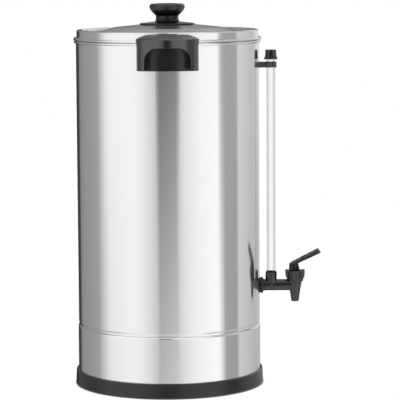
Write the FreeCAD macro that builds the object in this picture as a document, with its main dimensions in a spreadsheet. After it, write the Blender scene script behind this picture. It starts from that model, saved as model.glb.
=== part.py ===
"""Percolating coffee urn: steel tank on a plastic base, side tap with a sight glass, and a lift-off lid.

Millimetres. +Z is up, the tap points to +X, and the origin is on the tank's axis where the feet rest.
"""

import FreeCAD, Part
import math
import os
import re
import Sketcher

# Driving sizes: name, value, and what it measures

sizes = [
    ("tank_radius", 120.0, "outside of the tank wall"),
    ("tank_sheet", 1.0, "tank wall thickness"),
    ("seam_height", 79.5, "where the tank stands on the skirt"),
    ("seam_depth", 0.8, "how far the seam groove goes in"),
    ("seam_rise", 2.7, "straight height of the seam groove"),
    ("rim_height", 452.6, "centre of the rolled rim"),
    ("bead_size", 3.5, "thickness of the rolled rim"),
    ("skirt_step", 0.7, "how far the skirt stands out past the tank"),
    ("skirt_sheet", 0.8, "skirt thickness"),
    ("skirt_lip", 4.0, "width of the skirt's top flange"),
    ("skirt_round", 2.4, "rounding of the skirt's top edge"),
    ("floor_rise", 12.5, "tank floor above the seam"),
    ("floor_sheet", 1.2, "tank floor thickness"),
    ("floor_flange", 7.4, "height of the floor's turned-down edge"),
    ("well_radius", 22.0, "pump well in the floor"),
    ("well_depth", 12.0, "depth of the pump well"),
    ("fit_gap", 0.1, "clearance between fixed neighbours"),
    ("free_gap", 0.4, "clearance between moving neighbours"),
    ("foot_proud", 1.0, "how far the feet stand below the base"),
    ("foot_sunk", 1.5, "how deep the feet sit in the base"),
    ("foot_radius", 7.0, "rubber foot"),
    ("ring_wall", 4.0, "base ring thickness outside the skirt"),
    ("ring_taper", 1.0, "how much the base ring narrows to its top"),
    ("ring_height", 18.5, "height of the base ring"),
    ("ring_flange", 4.0, "thickness of the base ring's floor"),
    ("ring_floor", 22.8, "width of the base ring's floor"),
    ("shelf_rise", 7.0, "shelf that carries the skirt, above the ring's underside"),
    ("shelf_width", 4.0, "width of that shelf"),
    ("plate_sheet", 1.0, "bottom plate thickness"),
    ("plate_lap", 12.0, "how far the bottom plate laps the base ring"),
    ("plate_screw", 2.0, "radius of the bottom screws"),
    ("plate_screw_head", 4.0, "radius of their heads"),
    ("plate_screw_length", 5.4, "length of their shanks"),
    ("stud_radius", 2.0, "studs that draw the bottom plate up to the tank"),
    ("stud_inset", 5.9, "how far the studs stand inside the base ring's opening"),
    ("stud_nut", 3.5, "half the width across the flats of their nuts"),
    ("lid_gap", 0.3, "lid above the rolled rim"),
    ("lid_sheet", 1.0, "lid thickness"),
    ("lid_bead", 3.5, "height of the lid's rolled edge"),
    ("lid_overhang", 3.2, "how far the lid's edge reaches past the tank wall"),
    ("lid_inset", 1.0, "the lid's upright band inside the tank's outer face"),
    ("lid_depth", 13.3, "lid crest above the lid's seat"),
    ("lid_round", 1.4, "rounding of the lid's crest"),
    ("lid_crest_width", 5.4, "flat width of the lid's crest"),
    ("lid_channel_drop", 2.2, "channel floor below the crest"),
    ("lid_channel_width", 25.6, "width of the channel inside the crest"),
    ("lid_step_width", 18.0, "width of the steep step inside the channel"),
    ("lid_step_rise", 5.2, "height of the steep step"),
    ("lid_cone_rise", 6.0, "rise of the shallow cone"),
    ("lid_boss", 12.0, "flat spot under the knob"),
    ("spigot_drop", 7.6, "how far the lid reaches into the tank"),
    ("guard_radius", 36.0, "heat guard under the knob"),
    ("guard_sheet", 1.6, "heat guard thickness"),
    ("knob_neck", 14.9, "knob neck radius"),
    ("knob_neck_height", 7.2, "knob neck height"),
    ("knob_radius", 23.4, "knob radius"),
    ("knob_rim_height", 19.7, "knob's widest line above its seat"),
    ("knob_crown", 4.0, "height of the knob's crown above that line"),
    ("knob_screw_radius", 3.0, "screw that holds the knob"),
    ("knob_screw_depth", 13.0, "how far that screw enters the knob"),
    ("handle_drop", 31.6, "handle underside below the rim"),
    ("handle_height", 38.8, "height of the handle's straight part"),
    ("handle_roof", 5.4, "height of the handle's sloping top"),
    ("handle_half", 39.0, "half the handle's width"),
    ("handle_reach", 35.2, "how far the handle stands out from the tank"),
    ("handle_bulge", 58.0, "radius of the handle's front"),
    ("handle_corner", 13.0, "radius of the handle's corners"),
    ("handle_flare", 0.9, "how far the handle's shoulders flare out on each side"),
    ("handle_flare_height", 8.5, "height of that flare"),
    ("handle_roof_half", 27.0, "half width at the back of the sloping top"),
    ("handle_roof_depth", 4.0, "depth of the top's narrow flat"),
    ("handle_roof_bulge", 215.0, "radius of the front of that flat"),
    ("handle_back", 6.0, "thickness behind the finger recess"),
    ("handle_back_drop", 1.3, "how far that wall hangs below the arms"),
    ("recess_half", 29.4, "half the finger recess width"),
    ("recess_height", 28.6, "finger recess height"),
    ("recess_corner", 16.5, "radius of the recess's top corners"),
    ("handle_screw_rise", 14.0, "handle screws above the handle's underside"),
    ("handle_screw_spread", 9.0, "handle screws off the handle's centre, in degrees"),
    ("handle_screw_radius", 2.5, "handle screw shank"),
    ("handle_screw_length", 4.4, "how far a handle screw enters the handle"),
    ("gauge_reach", 15.6, "sight glass axis from the tank wall"),
    ("tube_radius", 5.7, "outside of the sight glass"),
    ("tube_wall", 1.4, "sight glass wall"),
    ("tube_drop", 20.2, "top of the sight glass below the rim"),
    ("bracket_drop", 31.6, "bracket centre below the rim"),
    ("bracket_height", 7.4, "bracket height"),
    ("bracket_wall", 1.9, "bracket ring thickness"),
    ("bracket_width", 9.0, "bracket arm width"),
    ("bracket_split", 1.2, "split in the bracket's ring, where it snaps on"),
    ("bracket_split_reach", 2.2, "that split beyond the sight glass axis"),
    ("cap_rise", 3.3, "cap above the bracket"),
    ("cap_flange", 8.8, "radius of the cap's flange"),
    ("cap_flange_height", 3.0, "height of the cap's flange"),
    ("cap_radius", 7.9, "cap radius over its ribs, at the flange"),
    ("cap_taper", 0.9, "how much the cap narrows to its top"),
    ("cap_groove", 0.8, "depth of the grooves between the cap's ribs"),
    ("cap_height", 12.5, "cap height"),
    ("tap_rise", 36.5, "tap axis above the tank floor"),
    ("valve_reach", 47.3, "valve axis from the tank wall"),
    ("shank_radius", 7.4, "outside of the tap shank"),
    ("shank_bore", 4.0, "bore of the tap shank"),
    ("tap_thread", 7.2, "outside of the tap's threaded end"),
    ("tap_flange", 10.8, "radius of the tap's flange"),
    ("tap_flange_width", 3.4, "width of that flange"),
    ("tap_collar", 7.9, "collar beside the flange"),
    ("gasket_width", 1.5, "outer gasket"),
    ("socket_radius", 7.5, "outside of the sight glass socket"),
    ("socket_rise", 17.0, "socket top above the tap axis"),
    ("seal_wall", 0.8, "wall of the sight glass seal"),
    ("seal_depth", 8.5, "how deep the sight glass seal sits"),
    ("nut_flats", 11.0, "half the width across the flats of the tap nut"),
    ("nut_width", 5.0, "thickness of the tap nut"),
    ("valve_top", 10.0, "radius of the valve body's shoulder"),
    ("valve_shoulder", 9.5, "that shoulder above the tap axis"),
    ("valve_bore", 6.2, "valve chamber radius"),
    ("spout_radius", 4.9, "outside of the spout"),
    ("spout_bore", 3.7, "bore of the spout"),
    ("spout_drop", 21.8, "spout mouth below the tap axis"),
    ("spout_waist", 6.9, "outside of the spout where the shank meets it"),
    ("bonnet_height", 10.2, "bonnet height"),
    ("bonnet_radius", 10.9, "bonnet radius between the wings"),
    ("wing_reach", 12.8, "radius over the bonnet's wings"),
    ("wing_width", 12.8, "width of a wing"),
    ("stem_radius", 3.0, "tap stem"),
    ("pin_radius", 1.5, "lever pin"),
    ("pin_rise", 24.3, "lever pin above the tap axis"),
    ("pin_length", 12.4, "lever pin length"),
    ("lever_width", 13.0, "lever width at its root"),
    ("paddle_width", 17.0, "lever width at its paddle"),
    ("paddle_length", 34.1, "paddle tip from the pin"),
    ("paddle_rise", 19.3, "underside of the paddle tip above the pin"),
    ("spring_wire", 0.9, "thickness of the valve spring's wire"),
    ("pump_radius", 5.0, "outside of the pump tube"),
    ("pump_wall", 0.8, "pump tube wall"),
    ("pump_drop", 14.0, "pump tube top below the rim"),
    ("pump_skirt", 19.0, "radius of the pump's foot"),
    ("basket_radius", 70.0, "outside of the coffee basket"),
    ("basket_height", 88.0, "coffee basket height"),
    ("basket_drop", 124.0, "coffee basket floor below the rim"),
    ("basket_sheet", 0.8, "coffee basket thickness"),
    ("basket_hub", 8.0, "radius of the basket's centre sleeve"),
    ("panel_angle", 35.0, "switch and lamps, degrees behind the tap"),
    ("panel_drop", 30.0, "switch centre below the seam"),
    ("switch_width", 21.0, "width of the switch body"),
    ("switch_height", 28.0, "height of the switch body"),
    ("switch_depth", 20.0, "depth of the switch body"),
    ("lamp_radius", 4.0, "indicator lamp"),
    ("lamp_spread", 11.0, "lamps off the switch, in degrees"),
    ("inlet_angle", 90.0, "power inlet, degrees behind the tap"),
    ("inlet_width", 27.0, "width of the inlet body"),
    ("inlet_height", 20.0, "height of the inlet body"),
    ("inlet_depth", 22.0, "depth of the inlet body"),
    ("warm_circle", 62.0, "radius of the keep-warm ring"),
    ("warm_tube", 3.2, "radius of the keep-warm ring's tube"),
    ("control_inset", 32.0, "thermostat and cut-out inside the tank's outer face"),
    ("block_circle", 55.0, "terminal block from the axis"),
    ("block_length", 44.0, "length of the terminal block"),
    ("block_width", 18.0, "width of the terminal block"),
    ("block_height", 14.0, "height of the terminal block"),
    ("wire_size", 2.6, "thickness of a wire over its sleeve"),
    ("wire_bend", 12.0, "room that a wire's bend takes"),
]

document = FreeCAD.newDocument("CoffeeUrn")
sheet = document.addObject("Spreadsheet::Sheet", "Sizes")
for row, (alias, amount, note) in enumerate(sizes, start=1):
    sheet.set(f"A{row}", alias)
    sheet.set(f"B{row}", str(amount))
    sheet.set(f"C{row}", note)
    sheet.setAlias(f"B{row}", alias)
document.recompute()

gauge = document.addObject("App::FeaturePython", "Gauge")
gauge.addProperty("App::PropertyFloat", "Reading")
size_word = re.compile(r"\b(" + "|".join(alias for alias, amount, note in sizes) + r")\b")
nodes = {}


def linked(formula):
    """The formula with each size tied to its cell."""
    return size_word.sub(r"Sizes.\1", str(formula))


def number(formula):
    """What the formula comes to now."""
    gauge.setExpression("Reading", linked(formula))
    gauge.recompute()
    return gauge.Reading


def tie(piece, amounts):
    for name, formula in amounts.items():
        piece.setExpression(name, linked(formula))


# Places that several pieces share, as formulas of the sizes

skirt_radius = "(tank_radius + skirt_step)"
tank_inside = "(tank_radius - tank_sheet)"
base_radius = f"({skirt_radius} + ring_wall)"
ring_inside = f"({skirt_radius} - ring_floor)"
ring_top = "(foot_proud + ring_height)"
shelf_top = "(foot_proud + shelf_rise)"
flange_top = "(foot_proud + ring_flange)"
floor_top = "(seam_height + floor_rise)"
floor_under = f"({floor_top} - floor_sheet)"
well_floor = f"({floor_top} - well_depth)"
well_under = f"({well_floor} - floor_sheet)"
stud_circle = f"({ring_inside} - stud_inset)"
lid_wall = "(tank_radius - lid_inset)"
lid_crest_in = f"({lid_wall} - lid_crest_width)"
lid_channel_in = f"({lid_crest_in} - lid_channel_width)"
lid_step_in = f"({lid_channel_in} - lid_step_width)"
lid_seat = "(rim_height + bead_size / 2 + lid_gap)"
lid_crest = f"({lid_seat} + lid_depth)"
lid_channel = f"({lid_crest} - lid_channel_drop)"
lid_step_top = f"({lid_channel} + lid_step_rise)"
lid_top = f"({lid_step_top} + lid_cone_rise)"
lid_edge = "(tank_radius + lid_overhang)"
cone_slope = f"(lid_cone_rise / ({lid_step_in} - lid_boss))"
knob_seat = f"({lid_top} + fit_gap + guard_sheet + fit_gap)"
handle_base = "(rim_height - handle_drop)"
handle_brow = f"({handle_base} + handle_height)"
handle_front = "(tank_radius + handle_reach)"
screw_height = f"({handle_base} + handle_screw_rise)"
gauge_axis = "(tank_radius + gauge_reach)"
valve_axis = "(tank_radius + valve_reach)"
tap_height = f"({floor_top} + tap_rise)"
socket_top = f"({tap_height} + socket_rise)"
tube_top = "(rim_height - tube_drop)"
bracket_height_middle = "(rim_height - bracket_drop)"
cap_base = f"({bracket_height_middle} + bracket_height / 2 + cap_rise)"
basket_floor = "(rim_height - basket_drop)"
panel_height = "(seam_height - panel_drop)"
pin_height = f"({tap_height} + pin_rise)"


# Makers of simple pieces

def keep(piece, label):
    """Names a finished piece as a node of the part."""
    piece.Label = label
    nodes[label] = piece
    return piece


def plane_of(body, role):
    return [feature for feature in body.Origin.OriginFeatures if feature.Role == role][0]


def new_body(label):
    body = document.addObject("PartDesign::Body", label)
    body.Label = label + " turning"
    return body


def outline(body, plane, points, lift="0"):
    """A closed outline through points given as pairs of formulas."""
    sketch = body.newObject("Sketcher::SketchObject", "Outline")
    sketch.AttachmentSupport = [(plane_of(body, plane), "")]
    sketch.MapMode = "FlatFace"
    tie(sketch, {".AttachmentOffset.Base.z": lift})
    corners = [FreeCAD.Vector(number(across), number(up), 0) for across, up in points]
    count = len(points)
    for index in range(count):
        sketch.addGeometry(Part.LineSegment(corners[index], corners[(index + 1) % count]), False)
    for index in range(count):
        sketch.addConstraint(Sketcher.Constraint("Coincident", index, 2, (index + 1) % count, 1))
    for index, (across, up) in enumerate(points):
        for kind, axis, formula, amount in (
            ("DistanceX", -2, across, corners[index].x),
            ("DistanceY", -1, up, corners[index].y),
        ):
            if str(formula) == "0":
                sketch.addConstraint(Sketcher.Constraint("PointOnObject", index, 1, axis))
            else:
                place = sketch.addConstraint(Sketcher.Constraint(kind, -1, 1, index, 1, amount))
                sketch.setExpression(f"Constraints[{place}]", linked(formula))
    return sketch


def turned(label, points):
    """A body turned about Z from an outline of radius and height."""
    body = new_body(label)
    sketch = outline(body, "XZ_Plane", points)
    turn = body.newObject("PartDesign::Revolution", "Turning")
    turn.Profile = sketch
    turn.ReferenceAxis = (sketch, ["V_Axis"])
    turn.Angle = 360
    body.Tip = turn
    return body


def rounded(body, rings, radius):
    """Rounds the circular edges at the given pairs of radius and height."""
    document.recompute()
    base = body.Tip
    names = []
    for ring_radius, height in rings:
        wanted_radius, wanted_height = number(ring_radius), number(height)
        for index, edge in enumerate(base.Shape.Edges, start=1):
            curve = edge.Curve
            if isinstance(curve, Part.Circle) and abs(curve.Radius - wanted_radius) < 0.01:
                if abs(curve.Center.z - wanted_height) < 0.01:
                    names.append(f"Edge{index}")
    fillet = body.newObject("PartDesign::Fillet", "Rounding")
    fillet.Base = (base, names)
    tie(fillet, {"Radius": radius})
    body.Tip = fillet
    return body


def prism(label, plane, points, length, lift="0"):
    """A body padded equally both ways from an outline."""
    body = new_body(label)
    sketch = outline(body, plane, points, lift)
    pad = body.newObject("PartDesign::Pad", "Pad")
    pad.Profile = sketch
    pad.SideType = "Symmetric"
    tie(pad, {"Length": length})
    body.Tip = pad
    return body


def hexagon(flats, length):
    """A six-sided bar, given half its width across the flats."""
    body = new_body("hexagon")
    corners = [(f"{flats} / cos(30) * cos({30 + 60 * index})", f"{flats} / cos(30) * sin({30 + 60 * index})")
               for index in range(6)]
    pad = body.newObject("PartDesign::Pad", "Pad")
    pad.Profile = outline(body, "XY_Plane", corners)
    tie(pad, {"Length": length})
    body.Tip = pad
    return body


def polar(radius, angle, height):
    """A point at a radius and an angle from the tap's side."""
    return (f"({radius}) * cos({angle})", f"({radius}) * sin({angle})", height)


def aim(direction, angle):
    """Turns a piece's own Z along +X, +Y or up, and then round the urn's axis."""
    first = {
        "up": FreeCAD.Rotation(),
        "out": FreeCAD.Rotation(FreeCAD.Vector(0, 1, 0), 90),
        "across": FreeCAD.Rotation(FreeCAD.Vector(1, 0, 0), -90),
    }[direction]
    return FreeCAD.Rotation(FreeCAD.Vector(0, 0, 1), angle).multiply(first)


def place(piece, at, direction="up", angle=0.0):
    piece.Placement = FreeCAD.Placement(FreeCAD.Vector(), aim(direction, angle))
    for axis, formula in zip("xyz", at):
        tie(piece, {f"Placement.Base.{axis}": formula})
    return piece


def rod(radius, length, at, direction="up", angle=0.0):
    piece = document.addObject("Part::Cylinder", "Rod")
    tie(piece, {"Radius": radius, "Height": length})
    return place(piece, at, direction, angle)


def ring(radius, thickness, height):
    piece = document.addObject("Part::Torus", "Ring")
    tie(piece, {"Radius1": radius, "Radius2": thickness})
    return place(piece, ("0", "0", height))


def block(depth, width, height, at, angle=0.0):
    """A box from a radius outwards, centred across and upwards, turned round the urn's axis."""
    piece = document.addObject("Part::Box", "Block")
    tie(piece, {"Length": depth, "Width": width, "Height": height})
    start, middle = at
    corner = (
        f"({start}) * cos({angle}) + ({width}) / 2 * sin({angle})",
        f"({start}) * sin({angle}) - ({width}) / 2 * cos({angle})",
        f"({middle}) - ({height}) / 2",
    )
    return place(piece, corner, "up", angle)


def joined(*pieces):
    result = document.addObject("Part::MultiFuse", "Joined")
    result.Shapes = list(pieces)
    return result


def cut(base, *tools):
    result = document.addObject("Part::Cut", "Cut")
    result.Base = base
    result.Tool = tools[0] if len(tools) == 1 else joined(*tools)
    return result


def group(*pieces):
    """Separate solids that one node holds."""
    result = document.addObject("Part::Compound", "Group")
    result.Links = list(pieces)
    return result


def softened(base, chosen, radius):
    """Rounds the edges of a piece that the test picks."""
    document.recompute()
    result = document.addObject("Part::Fillet", "Softened")
    result.Base = base
    amount = number(radius)
    result.Edges = [
        (index, amount, amount) for index, edge in enumerate(base.Shape.Edges, start=1) if chosen(edge)
    ]
    return result


# Base: ring, bottom plate, feet and their screws

foot_circle = f"({ring_inside} + foot_radius + 2.4)"
plate_radius = f"({ring_inside} + plate_lap)"
screw_circle = f"({ring_inside} + plate_lap / 2)"
counterbore = "(ring_flange - 1.6)"
foot_angles = (45, 135, 225, 315)
screw_angles = (0, 90, 180, 270)
stud_angles = (10, 120, 270)


def make_base():
    ring_blank = turned("base_ring", [
        (ring_inside, "foot_proud"),
        (base_radius, "foot_proud"),
        (f"{base_radius} - ring_taper", ring_top),
        (f"{skirt_radius} + fit_gap", ring_top),
        (f"{skirt_radius} + fit_gap", shelf_top),
        (f"{skirt_radius} - shelf_width", shelf_top),
        (f"{skirt_radius} - shelf_width", flange_top),
        (ring_inside, flange_top),
    ])
    rounded(ring_blank, [(base_radius, "foot_proud"), (f"{base_radius} - ring_taper", ring_top)], "1.1")
    pockets = [rod("foot_radius + fit_gap", "foot_sunk + 1", polar(foot_circle, angle, "foot_proud - 1"))
               for angle in foot_angles]
    holes = []
    for angle in screw_angles:
        holes.append(rod("plate_screw + 2 * fit_gap", "ring_flange + 2",
                         polar(screw_circle, angle, "foot_proud - 1")))
        holes.append(rod("plate_screw_head + 2 * fit_gap", f"{counterbore} + 1",
                         polar(screw_circle, angle, "foot_proud - 1")))
    keep(cut(ring_blank, *pockets, *holes), "base_ring")

    vents = [rod("2.5", "plate_sheet + 2", polar(f"{ring_inside} * 0.6", angle, f"{flange_top} - 1"))
             for angle in range(0, 360, 30)]
    plate_holes = [rod("plate_screw + fit_gap / 2", "plate_sheet + 2",
                       polar(screw_circle, angle, f"{flange_top} - 1")) for angle in screw_angles]
    plate = rod(plate_radius, "plate_sheet", ("0", "0", flange_top))
    for angle in stud_angles:
        plate_holes.append(rod("stud_radius + 2 * fit_gap", "plate_sheet + 2",
                               polar(stud_circle, angle, f"{flange_top} - 1")))
    keep(cut(plate, *vents, *plate_holes), "bottom_plate")

    screws = []
    head_top = f"(foot_proud + {counterbore})"
    for angle in screw_angles:
        head = rod("plate_screw_head", "2.2", polar(screw_circle, angle, f"{head_top} - 2.2"))
        shank = rod("plate_screw", "plate_screw_length", polar(screw_circle, angle, head_top))
        screws.append(joined(head, shank))
    keep(group(*screws), "bottom_screws")

    studs = []
    nuts = []
    stud_low = f"({flange_top} - 3.2)"
    for angle in stud_angles:
        centre = polar(stud_circle, angle, stud_low)
        studs.append(rod("stud_radius", f"{floor_under} - fit_gap - {stud_low}", centre))
        nut = hexagon("stud_nut", "2.8")
        place(nut, polar(stud_circle, angle, f"{flange_top} - fit_gap / 2 - 2.8"))
        nuts.append(cut(nut, rod("stud_radius + fit_gap / 2", "9", polar(stud_circle, angle, "0"))))
    keep(group(*studs), "tie_studs")
    keep(group(*nuts), "tie_nuts")

    feet = []
    for angle in foot_angles:
        foot = rod("foot_radius", "foot_proud + foot_sunk", polar(foot_circle, angle, "0"))
        feet.append(softened(foot, lambda edge: edge.BoundBox.ZMax < 0.01, "foot_proud / 2"))
    keep(group(*feet), "rubber_feet")


# Skirt, with its openings for the switch, the lamps and the inlet

lamp_angles = ("panel_angle - lamp_spread", "panel_angle + lamp_spread")


def make_skirt():
    skirt = turned("lower_skirt", [
        (f"{skirt_radius} - skirt_sheet", shelf_top),
        (skirt_radius, shelf_top),
        (skirt_radius, "seam_height"),
        (f"{skirt_radius} - skirt_lip", "seam_height"),
        (f"{skirt_radius} - skirt_lip", "seam_height - skirt_sheet"),
        (f"{skirt_radius} - skirt_sheet", "seam_height - skirt_sheet"),
    ])
    rounded(skirt, [(skirt_radius, "seam_height")], "skirt_round")
    rounded(skirt, [(f"{skirt_radius} - skirt_sheet", "seam_height - skirt_sheet")],
            "skirt_round - skirt_sheet")
    start = f"({skirt_radius} - 12)"
    tools = [
        block("24", "switch_width + 2 * fit_gap", "switch_height + 2 * fit_gap", (start, panel_height),
              number("panel_angle")),
        block("24", "inlet_width + 2 * fit_gap", "inlet_height + 2 * fit_gap", (start, panel_height),
              number("inlet_angle")),
    ]
    for angle in lamp_angles:
        tools.append(rod("lamp_radius + fit_gap", "24", polar(start, angle, panel_height), "out",
                         number(angle)))
    keep(cut(skirt, *tools), "lower_skirt")


# Tank: shell, floor with the pump well, and the heaters and controls under it

handle_sides = (-90.0, 90.0)


def handle_screw_angle(side, sign):
    return f"{side} + {sign} * handle_screw_spread"


def make_tank():
    groove = "(tank_radius - seam_depth)"
    groove_top = "(seam_height + seam_rise)"
    flare_top = f"({groove_top} + 1.4)"
    wall_top = "(rim_height - bead_size / 4)"
    shell = turned("tank_shell", [
        (f"{groove} - tank_sheet", "seam_height"),
        (groove, "seam_height"),
        (groove, groove_top),
        ("tank_radius", flare_top),
        ("tank_radius", wall_top),
        (tank_inside, wall_top),
        (tank_inside, f"{flare_top} + 0.4"),
        (f"{groove} - tank_sheet", f"{groove_top} + 0.4"),
    ])
    bead = ring(f"{tank_inside} + bead_size / 2 + 0.1", "bead_size / 2", "rim_height")
    holes = [
        rod("tap_thread + fit_gap", "20", ("tank_radius - 10", "0", tap_height), "out"),
        rod("2.1", "20", ("tank_radius - 10", "0", bracket_height_middle), "out"),
    ]
    for side in handle_sides:
        for sign in (-1, 1):
            angle = handle_screw_angle(side, sign)
            holes.append(rod("handle_screw_radius + 2 * fit_gap", "20",
                             polar("tank_radius - 10", angle, screw_height), "out", number(angle)))
    keep(cut(joined(shell, bead), *holes), "tank_shell")

    floor = turned("tank_floor", [
        ("0", well_under),
        ("well_radius + floor_sheet", well_under),
        ("well_radius + floor_sheet", floor_under),
        (f"{tank_inside} - fit_gap - floor_sheet", floor_under),
        (f"{tank_inside} - fit_gap - floor_sheet", f"{floor_top} - floor_flange"),
        (f"{tank_inside} - fit_gap", f"{floor_top} - floor_flange"),
        (f"{tank_inside} - fit_gap", floor_top),
        ("well_radius", floor_top),
        ("well_radius", well_floor),
        ("0", well_floor),
    ])
    rounded(floor, [(f"{tank_inside} - fit_gap", floor_top)], "1.5")
    keep(floor, "tank_floor")


heater_top = f"({well_under} - fit_gap)"
warm_height = f"({floor_under} - fit_gap - warm_tube)"
warm_angles = (170, 190)
control_circle = "(tank_radius - control_inset)"


def make_heaters():
    plate = rod("well_radius - 1", "4", ("0", "0", f"{heater_top} - 4"))
    coil = ring("well_radius - 6.5", "3.3", f"{heater_top} - 5")
    tabs = [rod("1.6", "9", polar("well_radius - 6.5", angle, f"{heater_top} - 15"))
            for angle in (150, 210)]
    keep(joined(plate, coil, *tabs), "brew_heater")

    warm_ring = ring("warm_circle", "warm_tube", warm_height)
    warm_tabs = [rod("warm_tube / 2", "3 * warm_tube",
                     polar("warm_circle", angle, f"{warm_height} - 3.1 * warm_tube"))
                 for angle in warm_angles]
    keep(joined(warm_ring, *warm_tabs), "keep_warm_heater")

    for label, angle, drum, depth in (("thermostat", 205, "9", "9"), ("thermal_cutout", 235, "7", "6")):
        top = f"({floor_under} - fit_gap)"
        flange = block("24", "9", "1", (f"{control_circle} - 12", f"{top} - 0.5"), angle)
        body = rod(drum, depth, polar(control_circle, angle, f"{top} - 0.8 - {depth}"))
        pins = [rod("1.2", "4", polar(f"{control_circle} + {offset}", angle, f"{top} - {depth} - 4"))
                for offset in (-4, 4)]
        keep(joined(flange, body, *pins), label)


# Controls on the skirt: switch, lamps and inlet, and the wiring between them

block_angle = 100.0
block_low = f"({flange_top} + plate_sheet + fit_gap)"
block_top = f"({block_low} + block_height)"


def make_controls():
    panel = number("panel_angle")
    outside = f"({skirt_radius} + 1.6)"
    wall_tool = rod(f"{skirt_radius} + fit_gap", "seam_height", ("0", "0", "0"))
    bezel = block("8", "switch_width + 3.4", "switch_height + 3.4", (f"{outside} - 8", panel_height), panel)
    body = block("switch_depth", "switch_width", "switch_height",
                 (f"{outside} - 1 - switch_depth", panel_height), panel)
    hollow = block("12", "switch_width - 4", "switch_height - 4", (f"{outside} - 11", panel_height), panel)
    tabs = [block("7", "0.8", "6", (f"{outside} - 7.5 - switch_depth", f"{panel_height} + {offset}"), panel)
            for offset in (-8, 8)]
    housing = cut(joined(cut(bezel, wall_tool), body, *tabs), hollow)
    pin_seats = rod("1.1", "switch_width", ("0", "0", "0"), "across", panel)
    pivot = f"({outside} - 4.5)"
    place(pin_seats, (f"{pivot} * cos({panel}) + switch_width / 2 * sin({panel})",
                      f"{pivot} * sin({panel}) - switch_width / 2 * cos({panel})", panel_height),
          "across", panel)
    keep(cut(housing, pin_seats), "switch_housing")

    half = "(switch_height / 2 - 2 - 2 * free_gap)"
    rocker = prism("switch_rocker", "XZ_Plane", [
        ("-3.2", f"-({half}) * 0.55"),
        ("2.6", f"-({half})"),
        ("4.8", f"-({half}) + 0.3"),
        ("3.2", "0"),
        ("4.8", f"{half} - 0.3"),
        ("2.6", half),
        ("-3.2", f"({half}) * 0.55"),
    ], "switch_width - 4 - 2 * free_gap")
    axle = rod("1", "switch_width - 1", ("0", "-(switch_width - 1) / 2", "0"), "across")
    tilted = joined(rocker, axle)
    tilt = FreeCAD.Rotation(FreeCAD.Vector(0, 0, 1), panel).multiply(
        FreeCAD.Rotation(FreeCAD.Vector(0, 1, 0), -8))
    tilted.Placement = FreeCAD.Placement(FreeCAD.Vector(), tilt)
    for axis, formula in zip("xyz", polar(pivot, panel, panel_height)):
        tie(tilted, {f"Placement.Base.{axis}": formula})
    keep(tilted, "switch_rocker")

    for label, formula in zip(("heating_lamp", "ready_lamp"), lamp_angles):
        angle = number(formula)
        lens = rod("lamp_radius", "16", polar(f"{skirt_radius} - 14", formula, panel_height), "out", angle)
        flange = rod("lamp_radius + 1.2", "6", polar(f"{skirt_radius} - 4.8", formula, panel_height),
                     "out", angle)
        dome = softened(lens, lambda edge: edge.BoundBox.Center.Length > number(f"{skirt_radius} + 1"), "1.2")
        keep(joined(dome, cut(flange, wall_tool)), label)

    inlet = number("inlet_angle")
    inlet_face = f"({skirt_radius} + 1.4)"
    surround = block("8", "inlet_width + 7", "inlet_height + 7", (f"{inlet_face} - 8", panel_height), inlet)
    inlet_body = block("inlet_depth", "inlet_width", "inlet_height",
                       (f"{inlet_face} - inlet_depth", panel_height), inlet)
    socket = block("17", "inlet_width - 3.4", "inlet_height - 4", (f"{inlet_face} - 16", panel_height), inlet)
    pin_offsets = ((-7, -2), (0, 2.5), (7, -2))
    tunnels = []
    pins = []
    for across, up in pin_offsets:
        for collection, thick, tall, start, depth in (
            (pins, "2", "4", f"{inlet_face} - inlet_depth - 7", "inlet_depth + 5"),
            (tunnels, "2 + 2 * fit_gap", "4 + 2 * fit_gap", f"{inlet_face} - inlet_depth - 1", "8"),
        ):
            pin = block(depth, thick, tall, (start, f"{panel_height} + {up}"), inlet)
            shift_x = f"({across}) * (0 - sin({inlet}))"
            shift_y = f"({across}) * cos({inlet})"
            tie(pin, {
                "Placement.Base.x": f"({start}) * cos({inlet}) + ({thick}) / 2 * sin({inlet}) + {shift_x}",
                "Placement.Base.y": f"({start}) * sin({inlet}) - ({thick}) / 2 * cos({inlet}) + {shift_y}",
            })
            collection.append(pin)
    keep(cut(joined(cut(surround, wall_tool), inlet_body), socket, *tunnels), "inlet_housing")
    keep(group(*pins), "inlet_pins")

    strip = block("block_width", "block_length", "block_height",
                  ("block_circle - block_width / 2", f"{block_low} + block_height / 2"), block_angle)
    wells = []
    for share in (-0.34, -0.113, 0.113, 0.34):
        shift = number(f"block_length * {share}")
        turn = math.degrees(math.atan2(shift, number("block_circle")))
        reach = f"(block_circle / cos({turn}))"
        wells.append(rod("block_width / 7.5", "block_height / 2",
                         polar(reach, block_angle + turn, f"{block_top} - 0.3 * block_height")))
    keep(cut(strip, *wells), "terminal_block")


def wire_run(points, thickness):
    """A round wire through points, with every corner an arc."""
    path = []
    start = points[0]
    for before, corner, after in zip(points, points[1:], points[2:]):
        to_before = (before - corner).normalize()
        to_after = (after - corner).normalize()
        half_turn = (math.pi - to_before.getAngle(to_after)) / 2
        shorter = min(before.distanceToPoint(corner), after.distanceToPoint(corner))
        trim = 0.45 * shorter
        radius = trim / math.tan(half_turn)
        first = corner + to_before * trim
        last = corner + to_after * trim
        inwards = (to_before + to_after).normalize()
        middle = corner + inwards * (radius / math.cos(half_turn) - radius)
        path.append(Part.LineSegment(start, first).toShape())
        path.append(Part.Arc(first, middle, last).toShape())
        start = last
    path.append(Part.LineSegment(start, points[-1]).toShape())
    spine = Part.Wire(path)
    section = Part.Wire([Part.Circle(points[0], points[1] - points[0], thickness / 2).toShape()])
    return spine.makePipeShell([section], True, False)


def spot(radius, angle, height):
    turn = math.radians(angle)
    return FreeCAD.Vector(radius * math.cos(turn), radius * math.sin(turn), height)


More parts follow.
